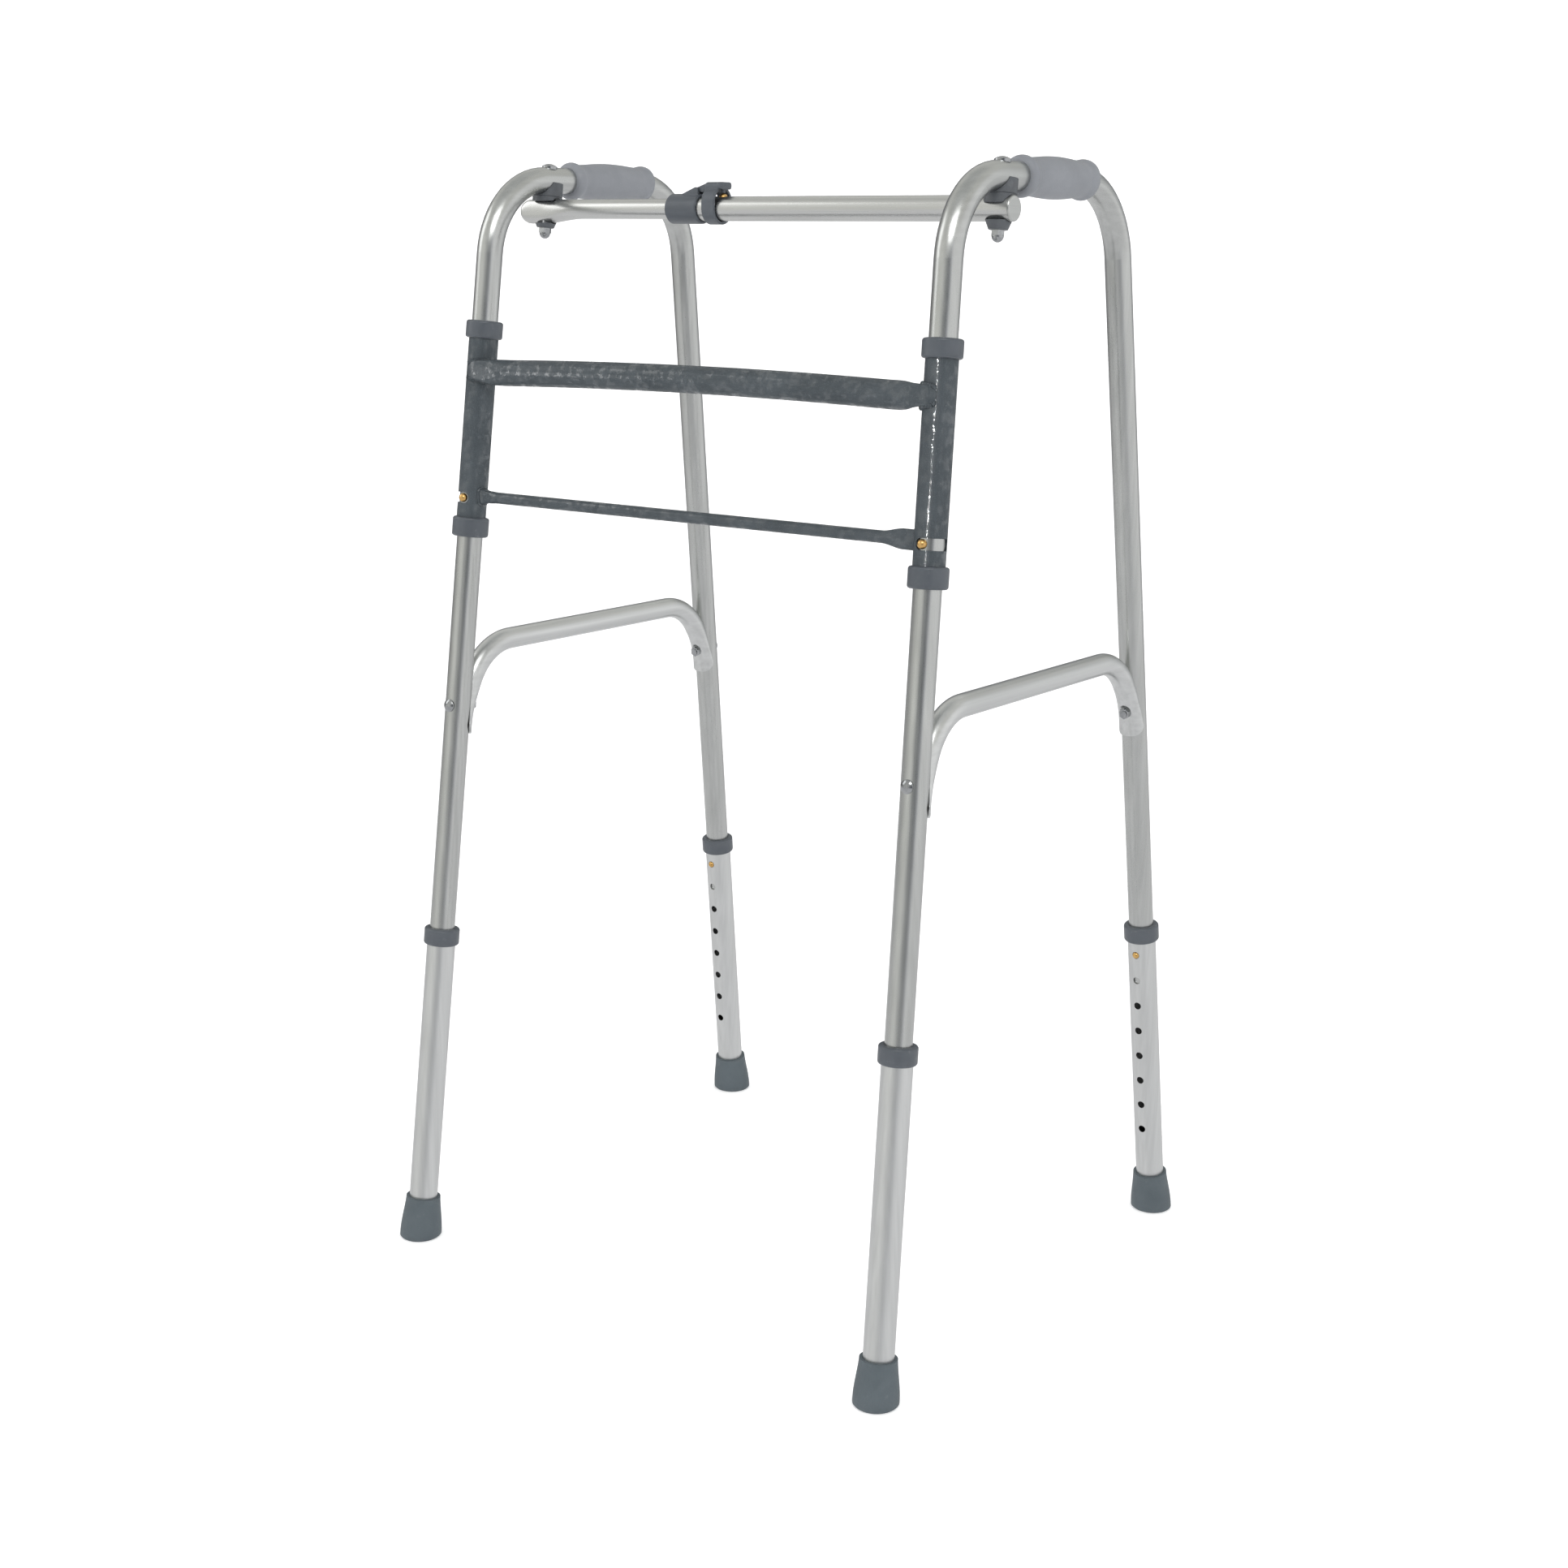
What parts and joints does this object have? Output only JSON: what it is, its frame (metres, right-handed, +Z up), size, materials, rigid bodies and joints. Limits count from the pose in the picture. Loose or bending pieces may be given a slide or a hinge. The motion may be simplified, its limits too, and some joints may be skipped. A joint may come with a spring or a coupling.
{
  "type": "folding walking frame",
  "caption": "Folding tubular walking frame: bent side frames with handgrips and braces, painted front crossbars, a telescoping top bar and telescoping legs on rubber feet.",
  "frame": {"origin": "on the floor, midway between the four feet (bottom centre of the bounding box)", "axes": "+Z up, +X across the frame, -Y the front with the painted crossbars, +Y the side the user stands on"},
  "size_m": [0.546, 0.5082, 0.9625],
  "materials": {
    "aluminium": "satin anodised",
    "dark_paint": "glossy, lightly textured",
    "slate_plastic": "satin moulded",
    "grey_plastic": "satin moulded",
    "grip_plastic": "soft, matte",
    "foot_rubber": "matte",
    "brass": "bright",
    "zinc": "bright plated",
    "spring_steel": "plain"
  },
  "bodies": {
    "front_frame": {"upper_crossbar": "dark_paint", "lower_crossbar": "dark_paint", "right_sleeve": "dark_paint", "right_sleeve_top_collar": "slate_plastic", "right_sleeve_bottom_collar": "slate_plastic", "left_sleeve": "dark_paint", "left_sleeve_top_collar": "slate_plastic", "left_sleeve_bottom_collar": "slate_plastic"},
    "right_frame": {"right_frame_tube": "aluminium", "right_grip": "grip_plastic", "right_brace": "aluminium", "right_brace_bolts": "zinc", "right_brace_nuts": "zinc", "right_snap_springs": "spring_steel", "right_handle_saddle": "grey_plastic", "right_pivot_bolt": "zinc", "right_acorn_nut": "zinc"},
    "left_frame": {"left_frame_tube": "aluminium", "left_grip": "grip_plastic", "left_brace": "aluminium", "left_brace_bolts": "zinc", "left_brace_nuts": "zinc", "left_snap_springs": "spring_steel", "left_handle_saddle": "grey_plastic", "left_pivot_bolt": "zinc", "left_acorn_nut": "zinc"},
    "right_bar": {"outer_bar": "aluminium", "outer_bar_end_cap": "aluminium", "bar_clasp": "slate_plastic", "right_bar_saddle": "grey_plastic", "right_bar_cup": "grey_plastic"},
    "left_bar": {"inner_bar": "aluminium", "left_bar_saddle": "grey_plastic", "left_bar_cup": "grey_plastic", "bar_button_spring": "spring_steel"},
    "clasp": {"clasp_lever": "slate_plastic"},
    "bar_button": {"bar_button": "brass"},
    "right_front_leg": {"right_front_leg_tube": "aluminium", "right_front_leg_collar": "slate_plastic", "right_front_foot": "foot_rubber", "right_front_foot_washer": "zinc"},
    "right_front_button": {"right_front_leg_button": "brass"},
    "right_rear_leg": {"right_rear_leg_tube": "aluminium", "right_rear_leg_collar": "slate_plastic", "right_rear_foot": "foot_rubber", "right_rear_foot_washer": "zinc"},
    "right_rear_button": {"right_rear_leg_button": "brass"},
    "right_sleeve_button": {"right_sleeve_button": "brass"},
    "left_front_leg": {"left_front_leg_tube": "aluminium", "left_front_leg_collar": "slate_plastic", "left_front_foot": "foot_rubber", "left_front_foot_washer": "zinc"},
    "left_front_button": {"left_front_leg_button": "brass"},
    "left_rear_leg": {"left_rear_leg_tube": "aluminium", "left_rear_leg_collar": "slate_plastic", "left_rear_foot": "foot_rubber", "left_rear_foot_washer": "zinc"},
    "left_rear_button": {"left_rear_leg_button": "brass"},
    "left_sleeve_button": {"left_sleeve_button": "brass"}
  },
  "joints": [
    {"name": "right_fold", "type": "hinge", "parent": "front_frame", "child": "right_frame", "pos_m": [0.23661, -0.15525, 0.73], "axis": [-0.0239, 0.1091, 0.9937], "range_deg": [0, 29], "deforming": ["bar_button", "bar_button_spring"]},
    {"name": "left_fold", "type": "hinge", "parent": "front_frame", "child": "left_frame", "pos_m": [-0.23661, -0.15525, 0.73], "axis": [0.0239, 0.1091, 0.9937], "range_deg": [-29, 0]},
    {"name": "right_bar_pivot", "type": "hinge", "parent": "right_frame", "child": "right_bar", "pos_m": [0.23174, -0.06516, 0.932], "axis": [-0.0239, 0.1091, 0.9937], "range_deg": [-29, 0]},
    {"name": "left_bar_pivot", "type": "hinge", "parent": "left_frame", "child": "left_bar", "pos_m": [-0.23174, -0.06516, 0.932], "axis": [0.0239, 0.1091, 0.9937], "range_deg": [0, 29]},
    {"name": "right_front_leg_height", "type": "slide", "parent": "right_frame", "child": "right_front_leg", "axis": [-0.0239, 0.1091, 0.9937], "range_m": [0, 0.1524]},
    {"name": "right_front_button_press", "type": "slide", "parent": "right_frame", "child": "right_front_button", "axis": [-0.0026, -0.994, 0.1091], "range_m": [0, 0.0037], "stiffness_N_per_m": 1500, "springref_m": -0.002, "deforming": ["right_snap_springs"]},
    {"name": "right_rear_leg_height", "type": "slide", "parent": "right_frame", "child": "right_rear_leg", "axis": [-0.0239, -0.1238, 0.992], "range_m": [0, 0.1524]},
    {"name": "right_rear_button_press", "type": "slide", "parent": "right_frame", "child": "right_rear_button", "axis": [-0.003, 0.9923, 0.1238], "range_m": [0, 0.0037], "stiffness_N_per_m": 1500, "springref_m": -0.002, "deforming": ["right_snap_springs"]},
    {"name": "right_sleeve_button_press", "type": "slide", "parent": "right_frame", "child": "right_sleeve_button", "axis": [0.0026, 0.994, -0.1091], "range_m": [0, 0.004], "stiffness_N_per_m": 1500, "springref_m": -0.002, "deforming": ["right_snap_springs"]},
    {"name": "left_front_leg_height", "type": "slide", "parent": "left_frame", "child": "left_front_leg", "axis": [0.0239, 0.1091, 0.9937], "range_m": [0, 0.1524]},
    {"name": "left_front_button_press", "type": "slide", "parent": "left_frame", "child": "left_front_button", "axis": [0.0026, -0.994, 0.1091], "range_m": [0, 0.0037], "stiffness_N_per_m": 1500, "springref_m": -0.002, "deforming": ["left_snap_springs"]},
    {"name": "left_rear_leg_height", "type": "slide", "parent": "left_frame", "child": "left_rear_leg", "axis": [0.0239, -0.1238, 0.992], "range_m": [0, 0.1524]},
    {"name": "left_rear_button_press", "type": "slide", "parent": "left_frame", "child": "left_rear_button", "axis": [0.003, 0.9923, 0.1238], "range_m": [0, 0.0037], "stiffness_N_per_m": 1500, "springref_m": -0.002, "deforming": ["left_snap_springs"]},
    {"name": "left_sleeve_button_press", "type": "slide", "parent": "left_frame", "child": "left_sleeve_button", "axis": [-0.0026, 0.994, -0.1091], "range_m": [0, 0.004], "stiffness_N_per_m": 1500, "springref_m": -0.002, "deforming": ["left_snap_springs"]},
    {"name": "clasp_press", "type": "hinge", "parent": "right_bar", "child": "clasp", "pos_m": [-0.06, -0.06631, 0.9365], "axis": [0, 1, 0], "range_deg": [0, 9], "stiffness_Nm_per_rad": 3, "springref_deg": -2.86},
    {"name": "bar_button_press", "type": "slide", "parent": "left_bar", "child": "bar_button", "axis": [0, 0, -1], "range_m": [0, 0.0042], "deforming": ["bar_button_spring"]}
  ],
  "couplings": [
    {"joint": "left_fold", "follows": "right_fold", "ratio": -1},
    {"joint": "right_bar_pivot", "follows": "right_fold", "ratio": -1},
    {"joint": "left_bar_pivot", "follows": "right_fold", "ratio": 1},
    {"joint": "bar_button_press", "follows": "clasp_press", "m_per_rad": 0.0255}
  ]
}
